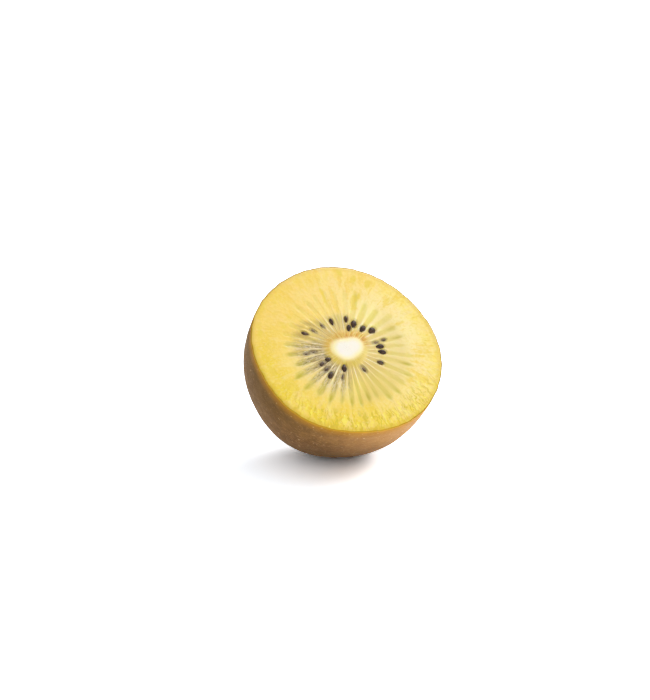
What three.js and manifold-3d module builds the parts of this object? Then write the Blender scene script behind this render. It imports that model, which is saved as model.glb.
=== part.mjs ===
// Half a golden kiwi fruit, cut across the middle and lying on the side of its dome.
//
// The fruit is shaped in a frame of its own: its axis is Z, the cut face looks up at z = 0, and the dome
// below it ends at the scar of the stalk. The half is then leaned over and set down, so that the origin is
// the middle of the small flat that it rests on. Sizes are in millimetres and angles in degrees.

import * as THREE from "three";
import { mergeVertices } from "three/addons/utils/BufferGeometryUtils.js";
import Module from "manifold-3d";

// Driving dimensions
const CUT_RADIUS = 26.09; // mean radius of the cut face
const HALF_LENGTH = 37; // from the cut face to the scar
const DOME_POWER = 2.7; // 2 would be an ellipse; more is fuller at the shoulder
const DOME_SWAY = [0.083, 0.125]; // shift of the dome along X and Y with depth: the cut is not quite square
const LEAN = 43; // of the fruit's axis from upright, where the half comes to balance
const REST_DEPTH = 0.5; // how far the skin is pressed flat where the fruit rests
const SKIN_EDGE = 0.45; // rounded edge between the cut face and the skin

// Slow waves round the fruit that make it less than round: [waves, height, where the first one peaks]
const OUT_OF_ROUND = [
  [2, 0.1, 38],
  [3, 0.18, -34],
  [4, 0.145, -33],
  [5, 0.14, 9],
  [6, 0.06, -12],
];

// The locules are the wet pockets that ray out from the core, with a thin wall, the septum, between them.
const LOCULES = 34;
const FIRST_SEPTUM = 354.4; // angle of septum 0
const LOCULE_DRIFT = [
  // their spacing drifts round the face: [waves, degrees, where the first one peaks]
  [1, 1.74, -149.5],
  [2, 2.94, 61.3],
  [3, 0.73, -26.3],
  [4, 0.85, -22.4],
];
const LOCULE_START = [5.0, 6.4]; // radii between which a pocket sinks in
const LOCULE_TIP = 17.3; // radius where a pocket ends
const LOCULE_TIP_SLOPE = 2.5; // distance over which its floor comes up to its tip
const LOCULE_TIP_SPREAD = 0.9; // how much longer or shorter a pocket is than most
const LOCULE_DEPTH = 0.4;

// The pale core, an oval that stands up a little
const CORE_SIZE = [8.2, 6.8];
const CORE_RISE = 0.35;
const CORE_EDGE = [3.0, 5.0]; // radii between which it falls to the flesh round it
const CORE_STRETCH_END = 9.0; // radius from which the rings are round again

// Seeds that the cut lays bare: [locules round from septum 0, distance from the axis, length, width]
const SEEDS = [
  [0.65, 9.4, 2.4, 1.5],
  [1.45, 8.5, 2.0, 0.9],
  [1.6, 11.0, 1.9, 1.0],
  [3.4, 9.9, 2.4, 2.0],
  [4.5, 8.5, 2.6, 1.5],
  [6.05, 8.6, 2.8, 1.7],
  [6.8, 6.9, 2.3, 1.3],
  [7.4, 9.5, 2.2, 1.1],
  [10.2, 9.0, 2.5, 1.2],
  [12.2, 9.1, 1.7, 0.9],
  [13.9, 10.2, 2.2, 0.9],
  [14.8, 12.0, 2.3, 1.2],
  [17.4, 9.6, 2.0, 0.9],
  [17.6, 11.6, 1.8, 0.8],
  [19.4, 6.7, 1.9, 1.4],
  [19.6, 8.9, 2.3, 1.4],
  [20.6, 9.3, 2.2, 1.2],
  [21.5, 10.2, 2.5, 1.3],
  [23.2, 9.3, 2.0, 0.8],
  [23.3, 6.3, 2.5, 1.5],
  [28.3, 7.2, 2.3, 1.3],
  [31.6, 9.5, 2.1, 1.3],
  [33.65, 9.7, 2.4, 1.5],
];
const SEED_THICKNESS = 1.3;
const SEED_SUNK = 0.3; // how far the middle of a seed lies below the cut face
const SEED_TAPER = 0.38; // a seed is narrower at its end towards the core
const SEED_SIDES = 8;
const SEED_RINGS = 6;

// The scar of the stalk: a puckered ring round a shallow pit, with the stub of the stalk in it
const SCAR_RADIUS = 3.6;
const SCAR_WIDTH = 0.9;
const SCAR_HEIGHT = 0.45;
const PIT_DEPTH = 0.7;
const STUB_RADIUS = 1.0;
const STUB_HEIGHT = 0.9;
const PUCKERS = 11;
const PUCKER_HEIGHT = 0.16;
const PUCKER_REACH = [1.5, 7.0]; // radii between which the puckers run

// How finely the surfaces are divided
const COLUMNS_PER_LOCULE = 3; // one on the septum, two in the pocket
const COLUMNS = LOCULES * COLUMNS_PER_LOCULE;
const FACE_RINGS = [1.9, 3.3, 4.4, 5.4, 6.8, 9.2, 12.4, 15.2, 17.2, 18.6, 22.2]; // radii
const DOME_ANGLES = [1.2, 80]; // of the first and last ring of the dome, down from the cut face
const DOME_STEPS = 15;
const SCAR_RINGS = [7.2, 5.9, 4.9, 4.2, 3.6, 3.0, 2.2, 1.3, 0.7]; // radii

const ON_FACE = 0.01; // how near a point of the turned shape is to the cut face, to count as on it

const COLOURS = {
  skin: "#7d5f36",
  flesh: "#f2d878",
  locule: "#d9c866",
  core: "#fbf0da",
  seed: "#2b1d16",
};

const wasm = await Module();
wasm.setup();

const radians = THREE.MathUtils.degToRad;
const { lerp, smoothstep } = THREE.MathUtils;

// Sum of waves round the fruit, each peaking first at its own angle.
function waves(list, degrees) {
  const heights = list.map(([count, size, peak]) => size * Math.cos(radians(count * (degrees - peak))));
  return heights.reduce((sum, height) => sum + height);
}

// Angle of a place counted in locules round from septum 0.
function angleOf(locules) {
  const even = (360 * locules) / LOCULES;
  return FIRST_SEPTUM + even + waves(LOCULE_DRIFT, even);
}

// How far the outline stands out at an angle, as a share of the mean radius.
function outline(degrees) {
  return 1 + waves(OUT_OF_ROUND, degrees) / CUT_RADIUS;
}

// Depth of the dome below the cut face, at a distance from the axis.
function domeDepth(radius) {
  return HALF_LENGTH * (1 - (radius / CUT_RADIUS) ** DOME_POWER) ** (1 / DOME_POWER);
}

// How far the scar stands out of the dome, at a distance from the axis.
function scarHeight(radius) {
  const ring = SCAR_HEIGHT * Math.exp(-(((radius - SCAR_RADIUS) / SCAR_WIDTH) ** 2));
  const pit = PIT_DEPTH * (1 - smoothstep(radius, STUB_RADIUS, SCAR_RADIUS));
  const stub = STUB_HEIGHT * (1 - smoothstep(radius, 0.6 * STUB_RADIUS, 1.4 * STUB_RADIUS));
  return ring - pit + stub;
}

// Profile from the scar up the skin to the edge, and in to the middle of the cut face: [radius, height].
function profile() {
  const scar = [...SCAR_RINGS, 0].map((radius) => [radius, -domeDepth(radius) - scarHeight(radius)]);
  const dome = [];
  for (let step = 0; step <= DOME_STEPS; step++) {
    const angle = radians(lerp(...DOME_ANGLES, step / DOME_STEPS));
    const radius = CUT_RADIUS * Math.cos(angle) ** (2 / DOME_POWER);
    dome.push([radius, -domeDepth(radius)]);
  }
  const edge = [
    [CUT_RADIUS - 0.3 * SKIN_EDGE, -0.3 * SKIN_EDGE],
    [CUT_RADIUS - SKIN_EDGE, 0],
  ];
  const face = [0, ...FACE_RINGS].map((radius) => [radius, 0]);
  return [...scar.reverse(), ...dome.reverse(), ...edge, ...face.reverse()];
}

// Height of the cut face: the pockets sink in between their walls, and the core stands up.
function faceHeight(radius, column) {
  const core = 1 - smoothstep(radius, ...CORE_EDGE);
  const locule = Math.floor(column / COLUMNS_PER_LOCULE);
  const tip = LOCULE_TIP + LOCULE_TIP_SPREAD * Math.sin(LOCULES * locule);
  const pocket = smoothstep(radius, ...LOCULE_START) * (1 - smoothstep(radius, tip - LOCULE_TIP_SLOPE, tip));
  const onSeptum = column % COLUMNS_PER_LOCULE === 0;
  return CORE_RISE * core - (onSeptum ? 0 : LOCULE_DEPTH * pocket);
}

// Height of the radial puckers that draw the skin in to the scar.
function puckerHeight(radius, degrees) {
  const [start, end] = PUCKER_REACH;
  const nearRing = smoothstep(radius, start, SCAR_RADIUS) * (1 - smoothstep(radius, SCAR_RADIUS, end));
  return PUCKER_HEIGHT * nearRing * Math.cos(radians(PUCKERS * degrees));
}

// How much wider than high the rings of the cut face are: [across, up], as shares of a round one.
function coreStretch(radius) {
  const mean = (CORE_SIZE[0] + CORE_SIZE[1]) / 2;
  const round = smoothstep(radius, CORE_EDGE[1], CORE_STRETCH_END);
  return CORE_SIZE.map((size) => lerp(size / mean, 1, round));
}

// Moves a point of the evenly turned fruit to where it lies on the less regular one that grew.
function grow(point) {
  const radius = Math.hypot(point.x, point.y);
  const turns = Math.atan2(point.y, point.x) / (2 * Math.PI) + 1;
  const column = Math.round(turns * COLUMNS) % COLUMNS;
  const degrees = angleOf(column / COLUMNS_PER_LOCULE);
  const reach = radius * outline(degrees);
  const onFace = point.z > -ON_FACE;
  const [across, up] = onFace ? coreStretch(radius) : [1, 1];
  point.x = across * reach * Math.cos(radians(degrees)) - DOME_SWAY[0] * point.z;
  point.y = up * reach * Math.sin(radians(degrees)) - DOME_SWAY[1] * point.z;
  point.z += onFace ? faceHeight(radius, column) : -puckerHeight(radius, degrees);
}

// The half fruit without its seeds.
function fruitGeometry() {
  const points = profile().map(([radius, height]) => new THREE.Vector2(radius, height));
  const geometry = closed(new THREE.LatheGeometry(points, COLUMNS).rotateX(Math.PI / 2));
  movePoints(geometry, grow);
  return geometry;
}

// A seed is a flattened drop that points at the core, lying in its pocket.
function seedGeometry([locules, radius, length, width]) {
  const drop = closed(new THREE.SphereGeometry(1, SEED_SIDES, SEED_RINGS).rotateZ(-Math.PI / 2));
  movePoints(drop, (point) => {
    const taper = 1 - SEED_TAPER * smoothstep(-point.x, 0, 1);
    point.y *= taper;
    point.z *= taper;
  });
  return drop
    .scale(length / 2, width / 2, SEED_THICKNESS / 2)
    .translate(radius, 0, -SEED_SUNK)
    .rotateZ(radians(angleOf(locules)));
}

// Hands each point of a geometry to a function that moves it.
function movePoints(geometry, move) {
  const position = geometry.getAttribute("position");
  const point = new THREE.Vector3();
  for (let i = 0; i < position.count; i++) {
    move(point.fromBufferAttribute(position, i));
    position.setXYZ(i, point.x, point.y, point.z);
  }
}

// Shared vertices merged, so that the surface is closed.
function closed(geometry) {
  geometry.deleteAttribute("normal");
  geometry.deleteAttribute("uv");
  return mergeVertices(geometry);
}

function solid(geometry) {
  return new wasm.Manifold(
    new wasm.Mesh({
      numProp: 3,
      vertProperties: geometry.getAttribute("position").array,
      triVerts: new Uint32Array(geometry.index.array),
    }),
  );
}

// Where the leaning dome would first touch the floor, in the fruit's own frame.
function touchingPoint() {
  const across = CUT_RADIUS * Math.sin(radians(LEAN));
  const down = HALF_LENGTH * (Math.cos(radians(LEAN)) - DOME_SWAY[1] * Math.sin(radians(LEAN)));
  const dual = DOME_POWER / (DOME_POWER - 1);
  const reach = (across ** dual + down ** dual) ** (1 / dual);
  const share = 1 / (DOME_POWER - 1);
  const out = CUT_RADIUS * (across / reach) ** share;
  const depth = HALF_LENGTH * (down / reach) ** share;
  return new THREE.Vector3(DOME_SWAY[0] * depth, DOME_SWAY[1] * depth - out, -depth);
}

// From the fruit's own frame to the one that it rests in.
function restingPlace() {
  const lean = new THREE.Euler(radians(LEAN), 0, 0);
  const lowest = touchingPoint().applyEuler(lean);
  const place = new THREE.Group();
  place.rotation.copy(lean);
  place.position.set(-lowest.x, -lowest.y, -lowest.z - REST_DEPTH);
  place.updateMatrix();
  return place;
}

// Everything below the floor, in the fruit's own frame, which takes off the flat that the fruit rests on.
function belowFloor(place) {
  const size = 4 * HALF_LENGTH;
  const box = closed(new THREE.BoxGeometry(size, size, size).translate(0, 0, -size / 2));
  return box.applyMatrix4(place.matrix.clone().invert());
}

// Colour of a triangle by where its middle lies, unless it is a seed's.
function colourAt(centre, isSeed) {
  if (isSeed) return COLOURS.seed;
  const radius = Math.hypot(centre.x, centre.y);
  const inLocules = radius > LOCULE_START[0] && radius < LOCULE_TIP;
  if (centre.z < -(inLocules ? 1.2 * LOCULE_DEPTH : 0.5 * SKIN_EDGE)) return COLOURS.skin;
  if (radius < CORE_EDGE[1]) return COLOURS.core;
  return inLocules && centre.z < -0.5 * LOCULE_DEPTH ? COLOURS.locule : COLOURS.flesh;
}

// The solid as a three.js geometry with its colours, each triangle apart from the next.
function colouredGeometry(manifold, seedIds) {
  const { vertProperties, triVerts, runIndex, runOriginalID } = manifold.getMesh();
  const shared = new THREE.BufferGeometry();
  shared.setAttribute("position", new THREE.BufferAttribute(vertProperties, 3));
  shared.setIndex(new THREE.BufferAttribute(triVerts, 1));
  const geometry = shared.toNonIndexed();
  const position = geometry.getAttribute("position");
  const colours = new Float32Array(position.count * 3);
  const corner = new THREE.Vector3();
  let run = 0;
  for (let first = 0; first < position.count; first += 3) {
    while (first >= runIndex[run + 1]) run++;
    const corners = [first, first + 1, first + 2];
    const centre = new THREE.Vector3();
    corners.forEach((i) => centre.add(corner.fromBufferAttribute(position, i)));
    centre.divideScalar(corners.length);
    const colour = new THREE.Color(colourAt(centre, seedIds.has(runOriginalID[run])));
    corners.forEach((i) => colour.toArray(colours, 3 * i));
  }
  geometry.setAttribute("color", new THREE.BufferAttribute(colours, 3));
  geometry.computeVertexNormals();
  return geometry;
}

function kiwiHalf() {
  const place = restingPlace();
  const seeds = SEEDS.map((seed) => solid(seedGeometry(seed)));
  const seedIds = new Set(seeds.map((seed) => seed.originalID()));
  const seeded = seeds.reduce((fruit, seed) => fruit.add(seed), solid(fruitGeometry()));
  const flesh = seeded.subtract(solid(belowFloor(place)));
  const material = new THREE.MeshStandardMaterial({ vertexColors: true, roughness: 0.5, metalness: 0 });
  const mesh = new THREE.Mesh(colouredGeometry(flesh, seedIds), material);
  mesh.name = "kiwi_half";
  place.add(mesh);
  return place;
}

const kiwi = new THREE.Group();
kiwi.add(kiwiHalf());

export default kiwi;
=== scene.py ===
"""Half a golden kiwi fruit, cut across the middle and lying on the side of its dome.

The pieces are shaped in the fruit's own frame: its axis is Z, the cut face looks up at z = 0, and the dome
below it ends at the scar of the stalk. Each piece is then leaned over and set down where the fruit rests.
Sizes are in millimetres and angles in degrees, and MM turns them into Blender's metres.
"""

import math
from types import SimpleNamespace

import bpy
import numpy as np
from mathutils import Matrix, Vector, noise


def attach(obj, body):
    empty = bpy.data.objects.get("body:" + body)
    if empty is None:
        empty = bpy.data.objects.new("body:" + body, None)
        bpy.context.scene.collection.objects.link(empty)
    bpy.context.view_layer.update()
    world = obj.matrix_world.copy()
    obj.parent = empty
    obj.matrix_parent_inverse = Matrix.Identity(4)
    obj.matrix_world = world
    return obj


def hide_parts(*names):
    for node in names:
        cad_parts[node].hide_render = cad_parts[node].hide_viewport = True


MM = 0.001

# The fruit: the same dimensions as the solid that it rests on
CUT_RADIUS = 26.09  # the mean one
HALF_LENGTH = 37  # from the cut to the end of the dome
DOME_POWER = 2.7  # of the superellipse that the dome is turned to
DOME_SWAY = (0.083, 0.125)  # how far it leans to +X and +Y for each millimetre down
LEAN = 43  # of the cut face from level
REST_DEPTH = 0.5  # how much of the dome is pressed flat
OUT_OF_ROUND = [(2, 0.1, 38), (3, 0.18, -34), (4, 0.145, -33), (5, 0.14, 9), (6, 0.06, -12)]  # waves

# Locules, the wet pockets that ray out from the core, with a thin wall, the septum, between them
LOCULES = 34
FIRST_SEPTUM = 354.4  # the angle of septum 0, before the drift
LOCULE_DRIFT = [(1, 1.74, -149.5), (2, 2.94, 61.3), (3, 0.73, -26.3), (4, 0.85, -22.4)]  # waves
LOCULE_START = (4.7, 6.2)  # the distances from the axis between which the pockets begin
LOCULE_TIP = 17.4  # and the one where they end
LOCULE_TIP_SPREAD = 1.4
LOCULE_TIP_ROUND = 1.3  # length over which a pocket closes at its tip
LOCULE_OPEN = (0.84, 0.5)  # share of the pitch that a pocket takes, near the core and near its tip
LOCULE_NARROWS = (7, 16)  # the distances from the axis between which that changes
LOCULE_SIZES = (0.8, 1.1)  # the narrowest and the widest, against that share
LOCULE_MEANDER = 0.1  # how far a pocket strays to its sides, as a share of the pitch
LOCULE_STRENGTHS = (0.6, 1)  # the faintest and the clearest
LOCULE_BLUR = (0.12, 0.36)  # of a pocket's sides, near the core and near its tip
LOCULE_BLURS = (8, 15)  # the distances from the axis between which that changes
LOCULE_DEPTH = 0.09
DUSK_NARROWING = 0.98  # of the pockets in the dusky part of the face
SPOT_SIZE = (1.6, 0.45)  # of the spot of colour near a pocket's tip, along it and across it
SPOT_BACK = 1.3  # how far short of the tip it lies
SEPTUM_HEIGHT = 0.04
SEPTUM_WIDTH = 0.13
SEPTUM_MEANDER = 0.04
SEPTUM_FADES = (15, 8)  # the distances from the axis between which a septum fades
SEPTUM_STRENGTHS = (0.15, 1)

# The pale core
CORE_MIDDLE = (0.53, -0.07)
CORE_RADIUS = 3.89
CORE_OUTLINE = [(1, 0.31, 140), (2, 0.58, 14), (3, 0.22, 27), (4, 0.04, 42)]  # waves
CORE_SLOPE = (0.35, -0.9)  # the distances out of its outline between which it rises
CORE_RISE = 0.14

# The rest of the cut face
CROWN = 0.08  # how far the outer flesh stands over the ring of pockets
CROWN_SLOPE = (16.5, 20)  # the distances from the axis between which it rises
EDGE_FALL = 0.14  # how far the face falls off where it meets the skin
EDGE_WIDTH = 0.7
GRAIN_HEIGHT = 0.018
SPOKE_STRETCH = 3.0  # how much longer than wide the rays of the flesh are
STROKE_STRETCH = 4.5  # and the strokes in the outer flesh
STROKE_SLANT = 0.6
STROKE_HEIGHT = 0.006
LOW_STROKE_HEIGHT = 0.014  # added to them where the face is lowest
SEED_PIT = 0.22  # depth of the pit that a seed lies in
SEED_LIP = 0.05  # height of the lip round it
SEED_ROOM = 0.1  # between the seed and its pit
SEED_SHADE = (0.08, 0.65)  # how strong it is, bare and under a full veil

# Parts of the cut face that differ: the middle, the half width and the fade of a sector, in degrees
DUSK_SECTOR = (208, 34, 26)
HAZE_SECTOR = (136, 64, 16)
LOW_SECTOR = (272, 38, 34)

# Skin
SKIN_THICKNESS = 0.2
SKIN_LIP = 0.09  # radius of its cut edge
SKIN_LIP_DROP = 0.02  # how far that lies below the cut face
SKIN_GAP = 0.02  # between the skin and the flesh in it
SKIN_WAVE = 0.07  # height of its low swells
SKIN_RIPPLE = 0.3  # that of the smaller ones between them, as a share of it
RAGGED = [(23, 0.03, 10), (37, 0.04, 80), (58, 0.025, 200)]  # waves of the cut edge

# Scar of the stalk
SCAR_RADIUS = 3.6  # of its raised ring
SCAR_WIDTH = 0.9
SCAR_HEIGHT = 0.45
SCAR_ROUGHNESS = 0.12
PIT_DEPTH = 0.7
PIT_ROOM = 1.2  # how far the lining and the flesh draw back behind the pit
STUB_RADIUS = 1.0
STUB_FULLNESS = 1.25  # how much wider it is made, for what its rounding takes off
STUB_LENGTH = 1.6
STUB_SUNK = 0.4
STUB_RINGS = [(0.3, 0.25), (0.3, -0.45), (0.25, 0.3)]  # inset and rise of the rings on its broken end
STUB_ROUGHNESS = 0.14
PUCKERS = 11
PUCKER_HEIGHT = 0.16
PUCKER_REACH = (1.5, 7.0)  # the distances from the axis between which the puckers lie
SEPALS = [(70, 3.6, 2.6), (150, 2.2, 1.2), (215, 1.8, 1.3), (340, 3.2, 1.9)]  # angle, length, width
SEPAL_THICKNESS = 0.16
SEPAL_OVERLAP = 0.9  # how far in from the ring of the scar a scrap starts
SEPAL_CRUMPLE = 0.07

# Patches of deeper yellow in the flesh: angle, distance from the axis, length, width and strength
STREAKS = [
    (66, 16.0, 6.4, 2.6, 0.75),
    (63, 17.8, 2.6, 1.1, 0.9),
    (95.5, 16.8, 6.0, 1.2, 0.9),
    (59, 22.4, 3.2, 1.7, 0.85),
    (69, 22.6, 4.0, 1.7, 0.8),
    (79, 24.0, 2.2, 1.7, 0.8),
    (20, 18.0, 2.8, 1.2, 0.7),
    (139, 17.4, 3.6, 1.7, 0.6),
    (150, 17.8, 3.2, 1.9, 0.6),
    (161, 23.9, 1.8, 6.4, 0.8),
    (141, 25.0, 1.3, 4.4, 0.6),
    (191, 23.0, 2.4, 4.0, 0.7),
    (207, 20.6, 3.4, 2.2, 0.7),
]

# Seeds: locules round from septum 0, distance from the axis, length, width, veil of flesh over it
SEEDS = [
    (0.65, 9.4, 2.4, 1.5, 0.0),
    (1.45, 8.5, 2.0, 0.9, 0.7),
    (1.6, 11.0, 1.9, 1.0, 0.55),
    (3.4, 9.9, 2.4, 2.0, 0.1),
    (4.5, 8.5, 2.6, 1.5, 0.0),
    (6.05, 8.6, 2.8, 1.7, 0.0),
    (6.8, 6.9, 2.3, 1.3, 0.0),
    (7.4, 9.5, 2.2, 1.1, 0.15),
    (10.2, 9.0, 2.5, 1.2, 0.1),
    (12.2, 9.1, 1.7, 0.9, 0.7),
    (13.9, 10.2, 2.2, 0.9, 0.7),
    (14.8, 12.0, 2.3, 1.2, 0.25),
    (17.4, 9.6, 2.0, 0.9, 0.9),
    (17.6, 11.6, 1.8, 0.8, 0.9),
    (19.4, 6.7, 1.9, 1.4, 0.1),
    (19.6, 8.9, 2.3, 1.4, 0.7),
    (20.6, 9.3, 2.2, 1.2, 0.8),
    (21.5, 10.2, 2.5, 1.3, 0.05),
    (23.2, 9.3, 2.0, 0.8, 0.7),
    (23.3, 6.3, 2.5, 1.5, 0.0),
    (28.3, 7.2, 2.3, 1.3, 0.75),
    (31.6, 9.5, 2.1, 1.3, 0.2),
    (33.65, 9.7, 2.4, 1.5, 0.0),
]
SEED_SIZE = 0.88  # how long a seed is made, against the length in the list
SEED_PLUMP = 0.92  # and how wide
SEED_THICKNESS = 1.05
SEED_TAPER = 0.3  # how much narrower than its middle the tip is
SEED_TIP = 0.07  # how far that is drawn out, as a share of the length
VEILED_THINNESS = 0.7  # of a seed under a full veil, against a bare one
SEED_TILT = 9  # the most that a seed may dip
SEED_TWIST = 12  # and turn from the radius
SEED_SUNK = (0.22, 0.5)  # how far its middle lies below the cut face, bare and under a full veil

# How finely the surfaces are divided
COLUMNS_PER_LOCULE = 20
FLESH_COLUMNS = LOCULES * COLUMNS_PER_LOCULE
SKIN_COLUMNS = 540
FACE_STEP = 0.205
CORE_STEP = 0.4
SKIN_STEPS = 140
LINING_STEPS = 12
SKIN_START = 1.0  # degrees down from the cut face
LINING_START = 2.2  # the same for what lies inside the skin

# Camera
CAMERA_AZIMUTH = -22.3
CAMERA_ELEVATION = 15
CAMERA_DISTANCE = 700
CAMERA_OFFSET = (5.86, 0.35)  # of the middle of the cut face from the line of sight
LENS = 136.4
SENSOR = 36

# Studio
FLOOR_WHITE = (1.96, 2.1, 2.24, 1)  # over 1, so that the floor stays white up to the fruit's shadow
FLOOR_SIZE = 8
SOFTBOXES = [  # name, place and side in metres, and watts
    ("top_softbox", (0.4, 0.2, 0.85), 0.4, 3.0),
    ("side_softbox", (0.66, 0.36, 0.24), 0.3, 6.0),
]
SOFTBOX_AIM = (0, 0, 0.025)
SKY_STRENGTH = 0.685


# Formulas of the fruit's shape


def smooth(value, low, high):
    """0 below low, 1 above high and an easy slope between them; it falls where low is above high."""
    share = np.clip((np.asarray(value, float) - low) / (high - low), 0, 1)
    return share * share * (3 - 2 * share)


def mix(low, high, share):
    return low + (high - low) * share


def waves(terms, degrees):
    """Sum of waves round the fruit: count, height and the angle where the first one peaks."""
    return sum(size * np.cos(np.radians(count * (degrees - peak))) for count, size, peak in terms)


def angle_of(locules):
    """Angle of a place counted in locules round from septum 0."""
    even = 360 * np.asarray(locules, float) / LOCULES
    return FIRST_SEPTUM + even + waves(LOCULE_DRIFT, even)


def outline(degrees):
    """How far the outline stands out at an angle, as a share of the mean radius."""
    return 1 + waves(OUT_OF_ROUND, degrees) / CUT_RADIUS


def dome_point(degrees_down, inset=0.0):
    """Radius and height of a point of the dome, by its angle down from the cut face."""
    angle = math.radians(degrees_down)
    radius = (CUT_RADIUS - inset) * max(math.cos(angle), 0.0) ** (2 / DOME_POWER)
    height = -(HALF_LENGTH - inset) * math.sin(angle) ** (2 / DOME_POWER)
    return radius, height


def scar_height(radius):
    """How far the scar stands out of the dome, at a distance from the axis."""
    ring = SCAR_HEIGHT * np.exp(-(((radius - SCAR_RADIUS) / SCAR_WIDTH) ** 2))
    pit = PIT_DEPTH * (1 - smooth(radius, STUB_RADIUS, SCAR_RADIUS))
    return ring - pit


def pucker_height(radius, degrees):
    """Height of the radial puckers that draw the skin in to the scar."""
    start, end = PUCKER_REACH
    near_ring = smooth(radius, start, SCAR_RADIUS) * (1 - smooth(radius, SCAR_RADIUS, end))
    return PUCKER_HEIGHT * near_ring * np.cos(np.radians(PUCKERS * degrees))


def resting_place():
    """Matrix from the fruit's own frame, in metres, to the one that it rests in."""
    angle = math.radians(LEAN)
    across = CUT_RADIUS * math.sin(angle)
    down = HALF_LENGTH * (math.cos(angle) - DOME_SWAY[1] * math.sin(angle))
    dual = DOME_POWER / (DOME_POWER - 1)
    reach = (across**dual + down**dual) ** (1 / dual)
    share = 1 / (DOME_POWER - 1)
    out = CUT_RADIUS * (across / reach) ** share
    depth = HALF_LENGTH * (down / reach) ** share
    lean = Matrix.Rotation(angle, 4, "X")
    lowest = lean @ Vector((DOME_SWAY[0] * depth, DOME_SWAY[1] * depth - out, -depth))
    return Matrix.Translation(Vector((-lowest.x, -lowest.y, -lowest.z - REST_DEPTH)) * MM) @ lean


RESTING = resting_place()


def noise_at(points, size, seed, octaves=3):
    """Smooth noise of about -1 to 1 at each point, with features of a size."""
    shift = Vector((seed * 13.7, seed * 7.1, seed * 3.3))
    return np.array([noise.fractal(Vector(p) / size + shift, 1.0, 2.0, octaves) for p in points])


# Mesh helpers


def read_points(piece):
    points = np.empty(len(piece.data.vertices) * 3)
    piece.data.vertices.foreach_get("co", points)
    return points.reshape(-1, 3) / MM


def write_points(piece, points):
    piece.data.vertices.foreach_set("co", (points * MM).ravel())
    piece.data.update()


def store(piece, name, values):
    """Keeps one number, or one vector, for each point of a piece."""
    values = np.asarray(values, float)
    kind, field = ("FLOAT", "value") if values.ndim == 1 else ("FLOAT_VECTOR", "vector")
    layer = piece.data.attributes.new(name, kind, "POINT")
    layer.data.foreach_set(field, values.ravel().astype(np.float32))


def edit(piece):
    """Opens one piece for editing, with nothing else selected."""
    bpy.ops.object.select_all(action="DESELECT")
    piece.select_set(True)
    bpy.context.view_layer.objects.active = piece
    bpy.ops.object.mode_set(mode="EDIT")
    bpy.ops.mesh.select_mode(type="VERT")


def leave_edit():
    bpy.ops.object.mode_set(mode="OBJECT")


def apply_modifier(piece, kind, **settings):
    """Adds a modifier to the active piece and makes its result the mesh."""
    modifier = piece.modifiers.new(kind.lower(), kind)
    for name, value in settings.items():
        setattr(modifier, name, value)
    bpy.ops.object.modifier_apply(modifier=modifier.name)


def joined(name, copies):
    """Makes one piece of several."""
    bpy.ops.object.select_all(action="DESELECT")
    for copy in copies:
        copy.select_set(True)
    bpy.context.view_layer.objects.active = copies[0]
    bpy.ops.object.join()
    piece = bpy.context.object
    piece.name = piece.data.name = name
    return piece


def turned(name, profile, columns):
    """A solid turned about Z: a point is extruded along the profile, and the line is screwed round."""
    bpy.ops.object.select_all(action="DESELECT")
    radius, height = profile[0]
    bpy.ops.mesh.primitive_plane_add(size=MM, location=(radius * MM, 0, height * MM))
    piece = bpy.context.object
    piece.name = piece.data.name = name
    bpy.ops.object.transform_apply(location=True, rotation=False, scale=False)
    edit(piece)
    bpy.ops.mesh.select_all(action="SELECT")
    bpy.ops.mesh.merge(type="CENTER")
    for (r0, z0), (r1, z1) in zip(profile, profile[1:]):
        step = ((r1 - r0) * MM, 0, (z1 - z0) * MM)
        bpy.ops.mesh.extrude_region_move(TRANSFORM_OT_translate={"value": step})
    leave_edit()
    apply_modifier(piece, "SCREW", steps=columns, render_steps=columns)
    edit(piece)
    bpy.ops.mesh.select_all(action="SELECT")
    bpy.ops.mesh.remove_doubles(threshold=0.002 * MM)
    bpy.ops.mesh.normals_make_consistent(inside=False)
    leave_edit()
    return piece


def seat(piece, clearance=0.0):
    """Leans a piece over, sets it down and presses it flat where it would reach through the floor."""
    points = read_points(piece)
    store(piece, "place", points)
    depth = np.maximum(-points[:, 2:], 0)
    write_points(piece, points + depth * [*DOME_SWAY, 0])
    piece.data.transform(RESTING)
    points = read_points(piece)
    points[:, 2] = np.maximum(points[:, 2], clearance)
    write_points(piece, points)
    edit(piece)
    bpy.ops.mesh.select_all(action="SELECT")
    bpy.ops.mesh.faces_shade_smooth()
    leave_edit()


# The flesh

# What its material reads
FLESH_MASKS = ["radius", "outside_core", "pocket", "septum", "spot", "streak", "shade"]
FLESH_MASKS += ["faint", "haze", "dusk", "low"]
FLESH_COORDINATES = ["spoke", "stroke"]


def flesh_profile():
    """From the end of the dome, up inside the skin to its edge, and in to the middle of the face."""
    inset = SKIN_THICKNESS + SKIN_GAP
    dome = [dome_point(mix(90, LINING_START, i / LINING_STEPS), inset) for i in range(LINING_STEPS + 1)]
    edge = CUT_RADIUS - inset
    rings = int((edge - CORE_RADIUS) / FACE_STEP)
    face = [(mix(edge, CORE_RADIUS, i / rings), 0) for i in range(rings + 1)]
    core_rings = int(CORE_RADIUS / CORE_STEP)
    core = [(CORE_RADIUS * (1 - i / core_rings), 0) for i in range(1, core_rings + 1)]
    return dome + face + core


def varied(number, seed):
    """A value of 0 to 1 for each whole number, the same in every run."""
    spread = np.sin(number * 12.9898 + seed * 78.233) * 43758.5453
    return spread - np.floor(spread)


def sector(degrees, middle, half, fade):
    """1 within half a sector's width of its middle, and 0 past the fade."""
    away = np.abs((degrees - middle + 180) % 360 - 180)
    return smooth(away, half + fade, half)


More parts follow.
